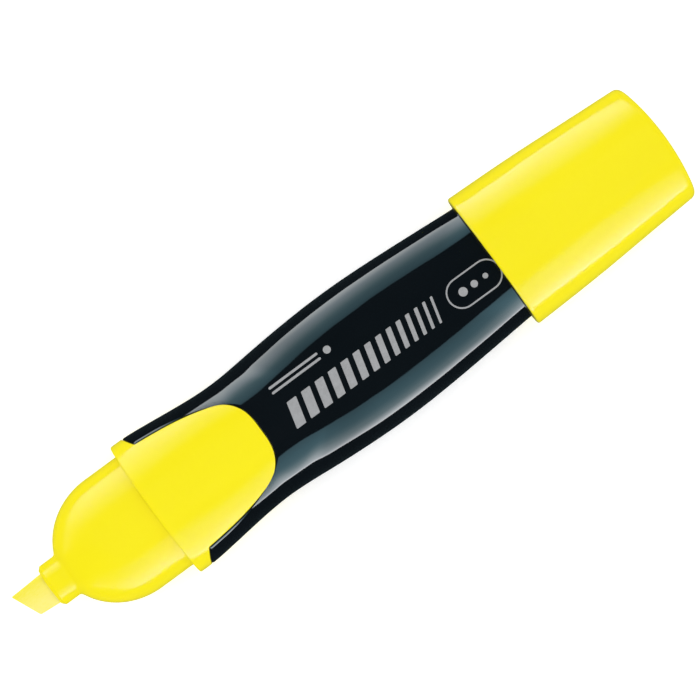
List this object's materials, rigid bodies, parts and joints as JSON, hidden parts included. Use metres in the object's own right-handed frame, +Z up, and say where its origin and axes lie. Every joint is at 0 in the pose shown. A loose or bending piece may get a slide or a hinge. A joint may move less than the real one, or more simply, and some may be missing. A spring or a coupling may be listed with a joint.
{
  "type": "highlighter pen",
  "caption": "Flat oval highlighter with a chisel nib, a waisted black barrel, a bright yellow front with inlaid tongues, and its yellow cap posted on the tail.",
  "frame": {"origin": "below the middle of the posted pen, on the plane that it rests on", "axes": "+X from the nib to the tail along the pen, +Y across the wide face, +Z up out of the wide face"},
  "size_m": [0.1228, 0.0238, 0.0151],
  "materials": {
    "nib_fibre": "matte",
    "yellow_plastic": "gloss",
    "black_plastic": "gloss",
    "ink_fibre": "matte",
    "clear_film": "gloss",
    "liner_plastic": "satin",
    "print_ink": "satin"
  },
  "bodies": {
    "pen": {"nib": "nib_fibre", "front_section": "yellow_plastic", "barrel": "black_plastic", "ink_reservoir": "ink_fibre", "reservoir_wrap": "clear_film", "tail_plug": "black_plastic"},
    "cap": {"cap_shell": "yellow_plastic", "inner_cap": "liner_plastic"}
  },
  "joints": [
    {"name": "cap_pull", "type": "slide", "parent": "pen", "child": "cap", "axis": [1, 0, 0], "range_m": [0, 0.022]}
  ]
}
